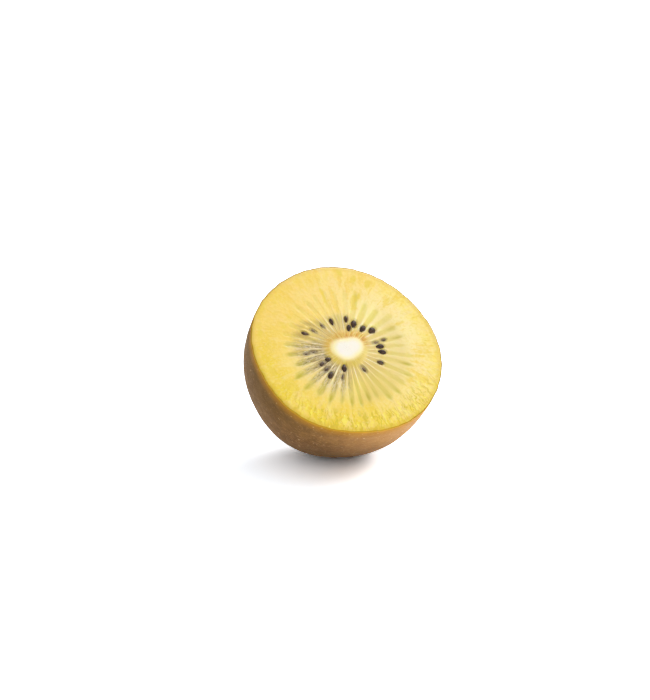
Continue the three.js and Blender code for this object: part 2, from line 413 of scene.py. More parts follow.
def locule_masks(radius, locules, meander, dusk):
    """Masks of the wet pockets, of the thin septa between them and of the spots at their tips."""
    pitch = 2 * math.pi * radius / LOCULES
    number = np.floor(locules + 1e-6)
    across = locules - number - 0.5
    tip = LOCULE_TIP + LOCULE_TIP_SPREAD * (2 * varied(number, 5) - 1)
    share = mix(*LOCULE_OPEN, smooth(radius, *LOCULE_NARROWS)) * mix(*LOCULE_SIZES, varied(number, 1))
    share = share * mix(1, DUSK_NARROWING, dusk)
    closing = np.sqrt(np.clip((tip + 0.2 - radius) / LOCULE_TIP_ROUND, 0, 1))
    half = 0.5 * pitch * share * closing
    off_middle = np.abs(across + LOCULE_MEANDER * meander) * pitch
    started = smooth(radius, *LOCULE_START)
    blur = mix(*LOCULE_BLUR, smooth(radius, *LOCULE_BLURS))
    inside = smooth(off_middle, half + blur, half - blur)
    ending = smooth(radius, tip + 0.5, tip - 1.0)
    pocket = inside * started * ending * mix(*LOCULE_STRENGTHS, varied(number, 2))
    off_wall = (0.5 - np.abs(across + SEPTUM_MEANDER * meander)) * pitch
    wall_number = np.floor(locules + 0.5 + 1e-6) % LOCULES
    bright = mix(*SEPTUM_STRENGTHS, varied(wall_number, 3) ** 1.5)
    wall = np.exp(-((off_wall / SEPTUM_WIDTH) ** 2)) * started * smooth(radius, *SEPTUM_FADES) * bright
    spot_length, spot_width = SPOT_SIZE
    along = (radius - tip + SPOT_BACK) / spot_length
    spot = np.exp(-(along**2) - (off_middle / spot_width) ** 2) * varied(number, 4)
    return pocket, wall, spot


def core_mask(points):
    """1 on the core, falling to 0 at its edge, and the distance out of it."""
    x, y = points[:, 0] - CORE_MIDDLE[0], points[:, 1] - CORE_MIDDLE[1]
    degrees = np.degrees(np.arctan2(y, x))
    outside = np.hypot(x, y) - CORE_RADIUS - waves(CORE_OUTLINE, degrees)
    return smooth(outside, *CORE_SLOPE), outside


def beside(points, degrees, radius):
    """How far points lie from a place on the face, outwards and across."""
    angle = math.radians(degrees)
    outwards = points[:, 0] * math.cos(angle) + points[:, 1] * math.sin(angle) - radius
    across = points[:, 1] * math.cos(angle) - points[:, 0] * math.sin(angle)
    return outwards, across


def seed_marks(points):
    """The pit that each seed lies in, the lip round it and the shade that it casts in the wet flesh."""
    pit, lip, shade = (np.zeros(len(points)) for _ in range(3))
    for locules, radius, length, width, veil in SEEDS:
        outwards, across = beside(points, angle_of(locules), radius)
        away = np.hypot(outwards / (length / 2 + SEED_ROOM), across / (width / 2 + SEED_ROOM))
        pit = np.maximum(pit, smooth(away, 1.2, 0.8) * (1 - 0.6 * veil))
        lip = np.maximum(lip, np.exp(-(((away - 1.35) / 0.22) ** 2)))
        shade = np.maximum(shade, smooth(away, 1.6, 0.8) * mix(*SEED_SHADE, veil))
    return pit, lip, shade


def streak_mask(points, wander):
    """Where the flesh is of a deeper yellow."""
    mask = np.zeros(len(points))
    for angle, radius, length, width, strength in STREAKS:
        outwards, across = beside(points, angle, radius)
        away = np.hypot(2 * outwards / length, 2 * across / width) + 0.7 * wander
        mask = np.maximum(mask, strength * smooth(away, 1.3, 0.4))
    return mask


def spokes(points):
    """Coordinates in which a feature is drawn out along the radius."""
    radius = np.hypot(points[:, 0], points[:, 1])
    unit = points[:, :2] / np.maximum(radius, 0.01)[:, None]
    return np.column_stack([unit * CUT_RADIUS, radius / SPOKE_STRETCH])


def swirled(radius, degrees, wobble):
    """Coordinates for strokes that are longer than wide, between radial and upright on the cut face."""
    angle = np.radians(degrees)
    lean = STROKE_SLANT * np.cos(angle) * (CUT_RADIUS - radius) / CUT_RADIUS
    angle = angle - lean + 0.03 * wobble
    along = radius / STROKE_STRETCH
    return np.column_stack([CUT_RADIUS * np.cos(angle), CUT_RADIUS * np.sin(angle), along])


def tinted_parts(radius, degrees):
    """Masks of the parts of the face that differ: dusky, faint, hazy and lowest."""
    around = degrees % 360
    dusk = sector(degrees, *DUSK_SECTOR) * smooth(radius, 4.5, 6.5) * smooth(radius, 18, 11)
    faint = smooth(around, 56, 80) * smooth(around, 174, 160) * smooth(radius, 9.0, 11.5)
    haze_end = mix(10.5, 14.5, smooth(around, 110, 145)) - 4.0 * smooth(around, 178, 200)
    haze = sector(degrees, *HAZE_SECTOR) * smooth(radius, 5.0, 6.5)
    haze = haze * smooth(radius - haze_end, 1.5, -1.5)
    return {"dusk": dusk, "faint": faint, "haze": haze, "low": sector(degrees, *LOW_SECTOR)}


def face_relief(radius, masks):
    """Height of the cut face: sunk pockets, fine walls, a low core and an edge that falls off."""
    edge = CUT_RADIUS - SKIN_THICKNESS
    outer = smooth(radius, *CROWN_SLOPE)
    stroke = LOW_STROKE_HEIGHT * outer * masks["low"] + STROKE_HEIGHT
    height = CORE_RISE * masks["core"]
    height += SEPTUM_HEIGHT * masks["septum"] * (1 - masks["pit"]) - LOCULE_DEPTH * masks["pocket"]
    height += stroke * masks["fibre"] + GRAIN_HEIGHT * masks["grain"] * (1 - masks["core"])
    height += CROWN * outer - EDGE_FALL * smooth(radius, edge - EDGE_WIDTH, edge) ** 2
    return height + SEED_LIP * masks["lip"] - SEED_PIT * masks["pit"]


def in_locules(points):
    """How many locules round from septum 0 each point's column stands."""
    even = np.degrees(np.arctan2(points[:, 1], points[:, 0])) % 360
    column = np.round(even / 360 * FLESH_COLUMNS) % FLESH_COLUMNS
    return column / COLUMNS_PER_LOCULE


def flesh_masks(points, radius, locules, degrees):
    """Masks of all that shows on the cut face, and the coordinates of its rays and strokes."""
    spoke = spokes(points)
    meander, wander = noise_at(spoke, 2.2, 1), noise_at(points, 1.6, 10)
    stroke = swirled(radius, degrees, wander)
    masks = {"radius": radius, "spoke": spoke, "stroke": stroke, **tinted_parts(radius, degrees)}
    masks["fibre"], masks["grain"] = noise_at(stroke, 0.7, 2), noise_at(points, 0.8, 3)
    pockets = locule_masks(radius, locules, meander, masks["dusk"])
    masks["pocket"], masks["septum"], masks["spot"] = pockets
    masks["core"], masks["outside_core"] = core_mask(points)
    masks["pit"], masks["lip"], masks["shade"] = seed_marks(points)
    masks["streak"] = streak_mask(points, wander)
    return masks


def make_flesh():
    piece = turned("kiwi_flesh", flesh_profile(), FLESH_COLUMNS)
    points = read_points(piece)
    radius = np.hypot(points[:, 0], points[:, 1])
    locules = in_locules(points)
    degrees = angle_of(locules)
    ragged = waves(RAGGED, degrees) * smooth(radius, 23, CUT_RADIUS)
    reach = radius * outline(degrees) + ragged
    on_face = points[:, 2] > -0.01
    points[:, 0] = reach * np.cos(np.radians(degrees))
    points[:, 1] = reach * np.sin(np.radians(degrees))
    masks = flesh_masks(points, radius, locules, degrees)
    points[:, 2] += np.where(on_face, face_relief(radius, masks), 0)
    points[:, 2] += np.where(~on_face & (radius < STUB_RADIUS), PIT_ROOM, 0)
    write_points(piece, points)
    for name in (*FLESH_MASKS, *FLESH_COORDINATES):
        store(piece, name, masks[name])
    seat(piece, SKIN_THICKNESS + SKIN_GAP)
    piece.data.materials.append(flesh_material())
    return piece


# The skin


def skin_profile():
    """From the scar up the outside to the cut edge, over it, and down the lining."""
    outside = [dome_point(mix(90, SKIN_START, i / SKIN_STEPS)) for i in range(SKIN_STEPS + 1)]
    middle = CUT_RADIUS - SKIN_THICKNESS / 2
    edge = []
    for turn in range(0, 181, 30):
        angle = math.radians(turn)
        height = SKIN_LIP * (math.sin(angle) - 1) - SKIN_LIP_DROP
        edge.append((middle + SKIN_LIP * math.cos(angle), height))
    turns = [mix(LINING_START, 90, i / LINING_STEPS) for i in range(LINING_STEPS + 1)]
    lining = [dome_point(turn, SKIN_THICKNESS) for turn in turns]
    return outside + edge + lining


def skin_swell(points, radius, down):
    """The low swells of the skin, calm at the cut and at the scar, as a share of the radius."""
    uneven = noise_at(points, 5.0, 4) * SKIN_WAVE + noise_at(points, 1.1, 5) * SKIN_RIPPLE * SKIN_WAVE
    calm = smooth(down, 0.3, 2.0) * smooth(radius, 0, 6)
    return uneven * calm / CUT_RADIUS


def scar_relief(points, radius, degrees):
    """Height of the scar over the dome, puckered and rough."""
    near_ring = 1 - smooth(radius, SCAR_RADIUS, PUCKER_REACH[1])
    rough = noise_at(points, 0.8, 6) * SCAR_ROUGHNESS * near_ring
    return scar_height(radius) + pucker_height(radius, degrees) + rough


def make_skin():
    piece = turned("kiwi_skin", skin_profile(), SKIN_COLUMNS)
    points = read_points(piece)
    radius = np.hypot(points[:, 0], points[:, 1])
    degrees = np.degrees(np.arctan2(points[:, 1], points[:, 0]))
    down = -points[:, 2]
    full = (radius / CUT_RADIUS) ** DOME_POWER + (np.maximum(down, 0) / HALF_LENGTH) ** DOME_POWER
    outside = full > 0.995
    swell = np.where(outside, 1 + skin_swell(points, radius, down), 1)
    ragged = waves(RAGGED, degrees) * smooth(down, 2.0, 0.0) / CUT_RADIUS
    reach = outline(degrees) * swell + ragged
    points[:, 0] *= reach
    points[:, 1] *= reach
    near_scar = outside & (radius < PUCKER_REACH[1] + 2)
    points[:, 2] -= np.where(near_scar, scar_relief(points, radius, degrees), 0)
    points[:, 2] += np.where(~outside & (radius < STUB_RADIUS), PIT_ROOM, 0)
    write_points(piece, points)
    seat(piece)
    piece.data.materials.append(skin_material())
    return piece


# The seeds


def seed_master():
    """One drop-shaped seed a millimetre long, narrow end towards -X."""
    bpy.ops.object.select_all(action="DESELECT")
    lying = (0, math.pi / 2, 0)
    bpy.ops.mesh.primitive_uv_sphere_add(segments=28, ring_count=18, radius=0.5 * MM, rotation=lying)
    master = bpy.context.object
    bpy.ops.object.transform_apply(location=False, rotation=True, scale=False)
    points = read_points(master)
    towards_tip = smooth(-points[:, 0], -0.05, 0.5)
    points[:, 1:] *= (1 - SEED_TAPER * towards_tip)[:, None]
    points[:, 0] -= SEED_TIP * towards_tip**2
    write_points(master, points)
    return master


def seed_matrix(number, locules, radius, length, width, veil):
    """What makes one seed of the master: its size, a small tilt and twist, and its place."""
    thickness = SEED_THICKNESS * mix(1, VEILED_THINNESS, veil)
    size = Matrix.Diagonal((length * SEED_SIZE, width * SEED_PLUMP, thickness, 1))
    tilt = Matrix.Rotation(math.radians(SEED_TILT * math.sin(5.3 * number)), 4, "Y")
    twist = Matrix.Rotation(math.radians(SEED_TWIST * math.sin(3.1 * number)), 4, "Z")
    sunk = Matrix.Translation(Vector((radius, 0, -mix(*SEED_SUNK, veil))) * MM)
    turn = Matrix.Rotation(math.radians(angle_of(locules)), 4, "Z")
    return turn @ sunk @ twist @ tilt @ size


def make_seeds():
    master = seed_master()
    copies = []
    for number, listed in enumerate(SEEDS):
        seed = master.copy()
        seed.data = master.data.copy()
        bpy.context.collection.objects.link(seed)
        seed.data.transform(seed_matrix(number, *listed))
        veil = listed[-1]
        store(seed, "veil", np.full(len(seed.data.vertices), veil))
        copies.append(seed)
    bpy.data.objects.remove(master)
    piece = joined("kiwi_seeds", copies)
    store(piece, "spoke", spokes(read_points(piece)))
    seat(piece)
    piece.data.materials.append(seed_material())
    return piece


# What is left of the stalk and the sepals


def break_off(stub):
    """Sinks and lifts rings of the outer end, as where the stalk broke off."""
    edit(stub)
    bpy.ops.mesh.select_mode(type="FACE")
    bpy.ops.mesh.select_all(action="DESELECT")
    leave_edit()
    for face in stub.data.polygons:
        face.select = face.normal.z < -0.9
    bpy.ops.object.mode_set(mode="EDIT")
    for inset, rise in STUB_RINGS:
        bpy.ops.mesh.inset(thickness=inset * MM)
        bpy.ops.transform.translate(value=(0, 0, rise * MM))
    leave_edit()


def make_stub():
    """The dry stub of the stalk."""
    bpy.ops.object.select_all(action="DESELECT")
    radius, height = STUB_FULLNESS * STUB_RADIUS, PIT_DEPTH - HALF_LENGTH + STUB_SUNK
    bpy.ops.mesh.primitive_cylinder_add(
        vertices=24, radius=radius * MM, depth=STUB_LENGTH * MM, location=(0, 0, height * MM)
    )
    piece = bpy.context.object
    piece.name = piece.data.name = "stalk_stub"
    bpy.ops.object.transform_apply(location=True, rotation=False, scale=False)
    break_off(piece)
    apply_modifier(piece, "SUBSURF", levels=2, render_levels=2)
    points = read_points(piece)
    points += STUB_ROUGHNESS * np.column_stack([noise_at(points, 0.6, seed) for seed in (7, 8, 9)])
    write_points(piece, points)
    seat(piece)
    piece.data.materials.append(husk_material("dry_stalk", HUSK.dark_stalk, HUSK.light_stalk))
    return piece


def make_sepal(angle, length, width):
    """A dry scrap of a sepal, bent up off the rim of the scar."""
    bpy.ops.object.select_all(action="DESELECT")
    bpy.ops.mesh.primitive_grid_add(x_subdivisions=10, y_subdivisions=6, size=MM)
    scrap = bpy.context.object
    points = read_points(scrap)
    along, across = np.clip(points[:, 0] + 0.5, 0, 1), points[:, 1]
    taper = np.clip(1.1 - along**1.6, 0.12, 1) ** 0.7
    points[:, 0] = length * along
    points[:, 1] = width * across * taper
    points[:, 2] = -0.07 * length * along**2 + 0.5 * across**2 * width + 0.5 * (1 - along) ** 4
    points += SEPAL_CRUMPLE * np.column_stack([noise_at(points, 1.2, angle + seed) for seed in (1, 2, 3)])
    write_points(scrap, points)
    apply_modifier(scrap, "SOLIDIFY", thickness=SEPAL_THICKNESS * MM)
    apply_modifier(scrap, "SUBSURF", levels=1, render_levels=1)
    start = SCAR_RADIUS - SEPAL_OVERLAP
    height = dome_point(math.degrees(math.acos((start / CUT_RADIUS) ** (DOME_POWER / 2))))[1]
    turn = Matrix.Rotation(math.radians(angle), 4, "Z")
    scrap.data.transform(turn @ Matrix.Translation(Vector((start, 0, height - SCAR_HEIGHT)) * MM))
    return scrap


def make_sepals():
    piece = joined("sepal_scraps", [make_sepal(*sepal) for sepal in SEPALS])
    seat(piece)
    piece.data.materials.append(husk_material("dry_sepal", HUSK.dark_sepal, HUSK.light_sepal))
    return piece


# Colours of 0 to 255, as on screen


def colour(red, green, blue):
    """A screen colour of 0 to 255 as the linear one that shaders use."""
    channels = (channel / 255 for channel in (red, green, blue))
    return (*(c / 12.92 if c <= 0.04045 else ((c + 0.055) / 1.055) ** 2.4 for c in channels), 1.0)


def tones(**screen):
    """Named screen colours as the linear ones that shaders use."""
    return SimpleNamespace(**{name: colour(*channels) for name, channels in screen.items()})


PULP = tones(  # the outer flesh
    deep=(244, 212, 94),
    pale=(254, 232, 160),
    deep_rim=(237, 207, 48),
    pale_rim=(251, 224, 118),
    cloud=(252, 221, 142),
    deep_patch=(238, 204, 62),
    pale_patch=(253, 226, 158),
    pale_grain=(254, 234, 168),
    deep_grain=(232, 200, 60),
    # deeper yellow and painted shade on the lower left
    deep_side=(238, 205, 58),
    green_stroke=(210, 184, 24),
    lemon_stroke=(250, 234, 92),
    edge=(220, 182, 56),
    top=(250, 208, 112),
    # painted glow of light from above
    glint=(255, 247, 160),
)
LOCULE = tones(  # the pockets and the walls between them
    wall=(246, 219, 124),
    pale_wall=(254, 234, 164),
    dusky_wall=(246, 224, 162),
    gel_at_core=(202, 174, 108),
    pale_gel_at_core=(230, 202, 122),
    gel_at_tips=(221, 201, 86),
    pale_gel_at_tips=(236, 216, 112),
    dusky_gel_at_core=(132, 108, 72),
    dusky_gel_at_tips=(178, 158, 66),
    haze=(188, 160, 88),
    dusk=(196, 164, 56),
    vein=(98, 80, 52),
    thread=(240, 224, 184),
    spot=(188, 170, 22),
    septum=(255, 242, 206),
    streak=(236, 206, 76),
    right_side=(200, 172, 92),
    under_seeds=(104, 84, 60),
)
CORE = tones(  # the core and the ring round it
    ring=(208, 174, 76),
    bright_ring=(244, 216, 118),
    low_fringe=(224, 202, 88),
    high_fringe=(220, 178, 54),
    low_hair=(210, 188, 68),
    high_hair=(214, 160, 50),
    pale_hair=(250, 226, 150),
    amber=(204, 134, 34),
    edge=(255, 238, 178),
    middle=(253, 243, 226),
)
# Unlit against lit is partly the fruit's own olive and tan sides, partly painted light and shade
SKIN_DARK = [(74, 51, 20), (100, 70, 38), (76, 52, 35)]  # away from the light, towards it, at the back
SKIN_LIGHT = [(128, 94, 52), (166, 125, 80), (150, 112, 80)]
SKIN_BROWN = [(97, 69, 30), (127, 91, 52), (105, 75, 51)]
SKIN = tones(
    speck=(66, 44, 22),
    dot=(210, 176, 136),
    tinge=(200, 156, 96),
    scar=(132, 92, 54),
    groove=(52, 32, 18),
    # painted rim light on the lower right
    warm_side=(222, 166, 104),
    # painted shade on the far left side
    dark_side=(76, 52, 16),
    # painted glow of light through the flesh into the thin skin below the cut
    near_cut=(156, 106, 20),
    cut_edge=(184, 142, 34),
    # painted shade where the fruit rests on the floor
    foot=(74, 54, 34),
    sheen=(255, 206, 150),
)
HUSK = tones(
    dark_stalk=(80, 54, 32),
    light_stalk=(164, 122, 78),
    dark_sepal=(96, 62, 32),
    light_sepal=(174, 122, 68),
)
SEED = tones(
    dark=(34, 18, 8),
    light=(76, 46, 24),
    veil=(104, 82, 56),
    fibre=(182, 158, 112),
)


# Shader helpers


class Value:
    """A socket of a shader, on which arithmetic adds Math nodes."""

    def __init__(self, shader, socket):
        self.shader = shader
        self.socket = socket

    def math(self, operation, *values):
        return self.shader.node("ShaderNodeMath", {"operation": operation}, dict(enumerate(values)))

    def __add__(self, other):
        return self.math("ADD", self, other)

    def __sub__(self, other):
        return self.math("SUBTRACT", self, other)

    def __rsub__(self, other):
        return self.math("SUBTRACT", other, self)

    def __mul__(self, other):
        return self.math("MULTIPLY", self, other)

    __radd__ = __add__
    __rmul__ = __mul__

    def root(self):
        return self.math("SQRT", self)

    def ease(self, low, high):
        """0 at low and 1 at high, with an easy slope between them."""
        limits = {"Value": self, "From Min": low, "From Max": high}
        return self.shader.node("ShaderNodeMapRange", {"interpolation_type": "SMOOTHSTEP"}, limits)

    def between(self, low, high):
        """Low where this is 0 and high where it is 1."""
        return self * (high - low) + low


class Shader:
    """A material's nodes, from its Principled BSDF back."""

    def __init__(self, name):
        self.material = bpy.data.materials.new(name)
        self.material.use_nodes = True
        self.nodes = self.material.node_tree.nodes
        self.links = self.material.node_tree.links
        self.surface = self.nodes["Principled BSDF"]

    def node(self, kind, settings=None, inputs=None, output=0):
        """Adds a node: first its settings, then the values or links of its sockets."""
        made = self.nodes.new(kind)
        for key, value in (settings or {}).items():
            setattr(made, key, value)
        for key, value in (inputs or {}).items():
            self.feed(made.inputs[key], value)
        return Value(self, made.outputs[output])

    def feed(self, socket, value):
        if isinstance(value, Value):
            self.links.new(value.socket, socket)
        else:
            socket.default_value = value

    def finish(self, **sockets):
        """Feeds the Principled BSDF's sockets: words in a name stand apart as underscores."""
        for name, value in sockets.items():
            self.feed(self.surface.inputs[name.replace("_", " ")], value)
        return self.material

    def attribute(self, name):
        return self.node("ShaderNodeAttribute", {"attribute_name": name}, output="Fac")

    def vector_attribute(self, name):
        return self.node("ShaderNodeAttribute", {"attribute_name": name}, output="Vector")

    def parts(self, vector):
        separate = self.node("ShaderNodeSeparateXYZ", {}, {0: vector})
        return [Value(self, socket) for socket in separate.socket.node.outputs]

    def noise(self, vector, size, detail=3, roughness=0.5, distortion=0.0):
        """Noise with features of about a size, from 0 to 1."""
        settings = {"Vector": vector, "Scale": 1 / size, "Detail": detail, "Roughness": roughness}
        return self.node("ShaderNodeTexNoise", {}, {**settings, "Distortion": distortion})

    def vector(self, operation, *values):
        return self.node("ShaderNodeVectorMath", {"operation": operation}, dict(enumerate(values)))

    def blend(self, share, low, high):
        """One colour over another, by a share from 0 to 1."""
        return self.node("ShaderNodeMix", {"data_type": "RGBA"}, {0: share, 6: low, 7: high}, output=2)

    def layered(self, base, *layers):
        """Colours laid over a base one after another, each by its own share."""
        for share, layer in layers:
            base = self.blend(share, base, layer)
        return base

    def bump(self, height, distance, strength=1.0, normal=None):
        inputs = {"Height": height, "Distance": distance * MM, "Strength": strength}
        if normal is not None:
            inputs["Normal"] = normal
        return self.node("ShaderNodeBump", {}, inputs)


# Materials


def flesh_fields(s):
    """What the colours of the flesh follow: its masks, its coordinates and some noises."""
    f = SimpleNamespace(**{name: s.attribute(name) for name in FLESH_MASKS})
    f.place, f.spoke, f.stroke = (s.vector_attribute(name) for name in ("place", "spoke", "stroke"))
    f.x, f.y, _ = s.parts(f.place)
    f.grain = s.noise(f.place, 0.8, 4, 0.6)
    f.ray = s.noise(f.spoke, 1.6, 2)
    f.fleck = s.noise(f.stroke, 0.66, 3, 0.6, 0.15)
    # Paler towards the upper right and deeper towards the lower left: partly the flesh's own tone, partly
    # painted light and shade
    f.pale_side = (f.x * 0.9 + f.y * 0.44).ease(-16, 20)
    f.strokes = f.radius.ease(18.0, 22.0) * (f.low * 0.8 + 0.2)
    f.zone = f.radius.ease(19, 15) * (1 - f.faint)
    return f


def pulp_colour(s, f):
    """The outer flesh, cloudy and grainy, with strokes towards the skin, painted shade on its lower left
    and a painted glow of light from above.
    """
    cloud, patch = s.noise(f.place, 7.0, 2), s.noise(f.spoke, 2.8, 4, 0.6)
    inner = s.blend(f.pale_side, PULP.deep, PULP.pale)
    rim = s.blend(f.pale_side, PULP.deep_rim, PULP.pale_rim)
    return s.layered(
        s.blend(f.radius.ease(19, 24), inner, rim),
        (cloud.ease(0.46, 0.62) * 0.5, PULP.cloud),
        (patch.ease(0.52, 0.62) * 0.66, PULP.deep_patch),
        (patch.ease(0.47, 0.37) * 0.55, PULP.pale_patch),
        (f.grain.ease(0.5, 0.62) * 0.3, PULP.pale_grain),
        (f.grain.ease(0.48, 0.38) * 0.25, PULP.deep_grain),
        # painted shade with deeper yellow on the lower left
        ((1 - f.pale_side) * 0.32, PULP.deep_side),
        (f.strokes * f.fleck.ease(0.5, 0.62) * 0.75, PULP.green_stroke),
        (f.strokes * f.fleck.ease(0.47, 0.37) * 0.65, PULP.lemon_stroke),
        (f.radius.ease(24.2, 25.7) * 0.6, PULP.edge),
        # painted light: a golden glow on the upper part of the face
        ((f.y - f.x * 0.4).ease(2, 18) * 0.35, PULP.top),
    )


def gel_colour(s, f, wall):
    """The wet flesh in the pockets, through which some rays of the walls' colour show."""
    # paler towards the upper right, partly as painted light
    at_core = s.blend(f.pale_side, LOCULE.gel_at_core, LOCULE.pale_gel_at_core)
    at_tips = s.blend(f.pale_side, LOCULE.gel_at_tips, LOCULE.pale_gel_at_tips)
    clear = s.blend(f.radius.ease(6.5, 12.5), at_core, at_tips)
    dusky = s.blend(f.radius.ease(7, 15), LOCULE.dusky_gel_at_core, LOCULE.dusky_gel_at_tips)
    return s.blend(f.ray.ease(0.45, 0.65) * 0.25, s.blend(f.dusk, clear, dusky), wall)


def with_locules(s, f, face):
    """Lays the pockets over the flesh, with their walls, veins and threads."""
    bright_wall = s.blend((f.x + f.y).ease(-12, 16), LOCULE.wall, LOCULE.pale_wall)
    wall = s.blend(f.dusk, bright_wall, LOCULE.dusky_wall)
    vein, web = s.noise(f.spoke, 0.7, 2, 0.5), s.noise(f.spoke, 1.1, 3, 0.6, 1.2)
    threads = web.ease(0.44, 0.5) * web.ease(0.56, 0.5)
    return s.layered(
        face,
        (f.zone * 0.75, wall),
        (f.haze * f.ray.ease(0.8, 0.3) * 0.95, LOCULE.haze),
        (f.pocket * (1 - f.faint * 0.8), gel_colour(s, f, wall)),
        (f.dusk * 0.22, LOCULE.dusk),
        (f.pocket * f.dusk * vein.ease(0.51, 0.6) * 0.65, LOCULE.vein),
        (threads * f.dusk * 0.75, LOCULE.thread),
        (f.spot * (1 - f.faint * 0.6) * 0.9, LOCULE.spot),
        (f.septum * 0.85, LOCULE.septum),
        (f.streak * 0.95, LOCULE.streak),
        (f.zone * (f.x * 0.87 - f.y * 0.5).ease(3.5, 9) * 0.3, LOCULE.right_side),
    )


def with_core(s, f, face):
    """Lays the frayed ring round the core over the flesh, and the pale core in it."""
    fringe, hair = s.noise(f.spoke, 2.2, 3, 0.6), s.noise(f.spoke, 0.8, 3, 0.6)
    ring = (f.outside_core + fringe * 3 - 1.5).ease(3.6, 0.8) * (f.x - f.y * 0.5).ease(7, 3.5)
    amber = f.outside_core.ease(2.8, 0.6) * (f.y + f.x * 0.4).ease(0.5, 4.5)
    edge = f.outside_core - f.x.ease(-1.5, -4.5) * f.y.ease(-2.5, 0.0) * 0.45
    upper = f.y.ease(-3, 2)
    return s.layered(
        face,
        (ring * 0.8, s.blend((f.x + f.y * 0.4).ease(-1, 6), CORE.ring, CORE.bright_ring)),
        (ring * fringe.ease(0.42, 0.56) * 0.6, s.blend(upper, CORE.low_fringe, CORE.high_fringe)),
        (ring * hair.ease(0.48, 0.56) * 0.5, s.blend(upper, CORE.low_hair, CORE.high_hair)),
        (ring * hair.ease(0.46, 0.38) * 0.4, CORE.pale_hair),
        (amber * hair.ease(0.42, 0.54) * 0.75, CORE.amber),
        (edge.ease(0.8, -0.8), CORE.edge),
        (f.outside_core.ease(0.0, -1.9), CORE.middle),
    )


def flesh_material():
    s = Shader("golden_flesh")
    f = flesh_fields(s)
    wet = s.noise(f.place, 1.6, 3)
    cells = s.node("ShaderNodeTexVoronoi", {}, {"Vector": f.stroke, "Scale": 1 / 0.6})
    glint = cells.ease(0.17, 0.07) * f.strokes * wet.ease(0.5, 0.6)
    face = with_core(s, f, with_locules(s, f, pulp_colour(s, f)))
    return s.finish(
        Base_Color=s.layered(face, (f.shade, LOCULE.under_seeds), (glint * 0.8, PULP.glint)),
        Roughness=wet.ease(0.4, 0.6).between(0.5, 0.3),
        Specular_IOR_Level=0.3,
        Coat_Weight=0.15,
        Coat_Roughness=0.08,
        Subsurface_Weight=0.3,
        Subsurface_Radius=(1.0, 0.6, 0.2),
        Subsurface_Scale=1.0 * MM,
        Normal=s.bump(f.fleck * f.strokes, 0.08, 0.5, s.bump(f.grain, 0.05)),
    )


def pale_dots(s, place):
    """Dots of many sizes, scattered thinly."""
    cells = {"Vector": place, "Scale": 1 / 1.5, "Randomness": 1.0}
    apart = s.node("ShaderNodeTexVoronoi", {}, cells)
    chosen = s.node("ShaderNodeTexVoronoi", {}, cells, output="Color")
    pick, bigness, _ = s.parts(chosen)
    return (apart - bigness * 0.09).ease(0.16, 0.03) * pick.ease(0.25, 0.6)


def skin_fields(s):
    """What the colours of the skin follow: its coordinates, its dots and some noises."""
    f = SimpleNamespace(place=s.vector_attribute("place"))
    f.x, f.y, f.z = s.parts(f.place)
    f.mottle, f.speck = s.noise(f.place, 5.0, 4, 0.6), s.noise(f.place, 0.45, 3, 0.6)
    f.down = s.noise(s.vector("MULTIPLY", f.place, (1, 1, 2.4)), 1.2, 4, 0.65, 0.5)
    f.dot = pale_dots(s, f.place)
    return f


def brown_skin(s, f):
    """Mottled skin with short streaks of down and pale dots, of another brown at the back, and lighter to
    the right and front: partly its own tan, partly painted light and shade.
    """
    # Painted light and shade over the skin's own tan and olive sides: lighter to the right and front,
    # darker to the left
    tan_and_painted_light_side = (f.x * 0.6 - f.y * 0.8).ease(-22, 24)
    back = (f.z - f.y * 0.12).ease(-4, -13) * f.y.ease(-8, 14).between(0.4, 1.0)
    dark, light, brown = (
        s.blend(back, s.blend(tan_and_painted_light_side, colour(*unlit_tone), colour(*lit_tone)), colour(*back_tone))
        for unlit_tone, lit_tone, back_tone in (SKIN_DARK, SKIN_LIGHT, SKIN_BROWN)
    )
    return s.layered(
        brown,
        (f.mottle.ease(0.4, 0.62) * 0.6, dark),
        (s.noise(f.place, 9.0, 3).ease(0.46, 0.64) * back * 0.32, light),
        (f.down.ease(0.53, 0.64) * 0.5, light),
        (f.down.ease(0.46, 0.36) * 0.45, dark),
        (f.speck.ease(0.62, 0.7) * 0.6, SKIN.speck),
        (f.dot * f.mottle.ease(0.6, 0.4).between(0.35, 0.65), SKIN.dot),
    )


def with_scar(s, f, skin):
    """Lays the scar over the skin, with a yellowish tinge round it and dark grooves in it."""
    from_axis = (f.x * f.x + f.y * f.y).root() + s.noise(f.place, 1.5, 3, 0.6) * 1.6 - 0.8
    tinge = from_axis.ease(13.0, 5.0) * s.noise(f.place, 6.0, 4, 0.6).ease(0.4, 0.66)
    grooves = from_axis.ease(4.0, 4.5) * from_axis.ease(5.2, 4.6) + from_axis.ease(3.0, 2.5) * 0.7
    return s.layered(
        skin,
        (tinge * 0.6, SKIN.tinge),
        (from_axis.ease(4.4, 3.4) * 0.7, SKIN.scar),
        (grooves * 0.85, SKIN.groove),
    )


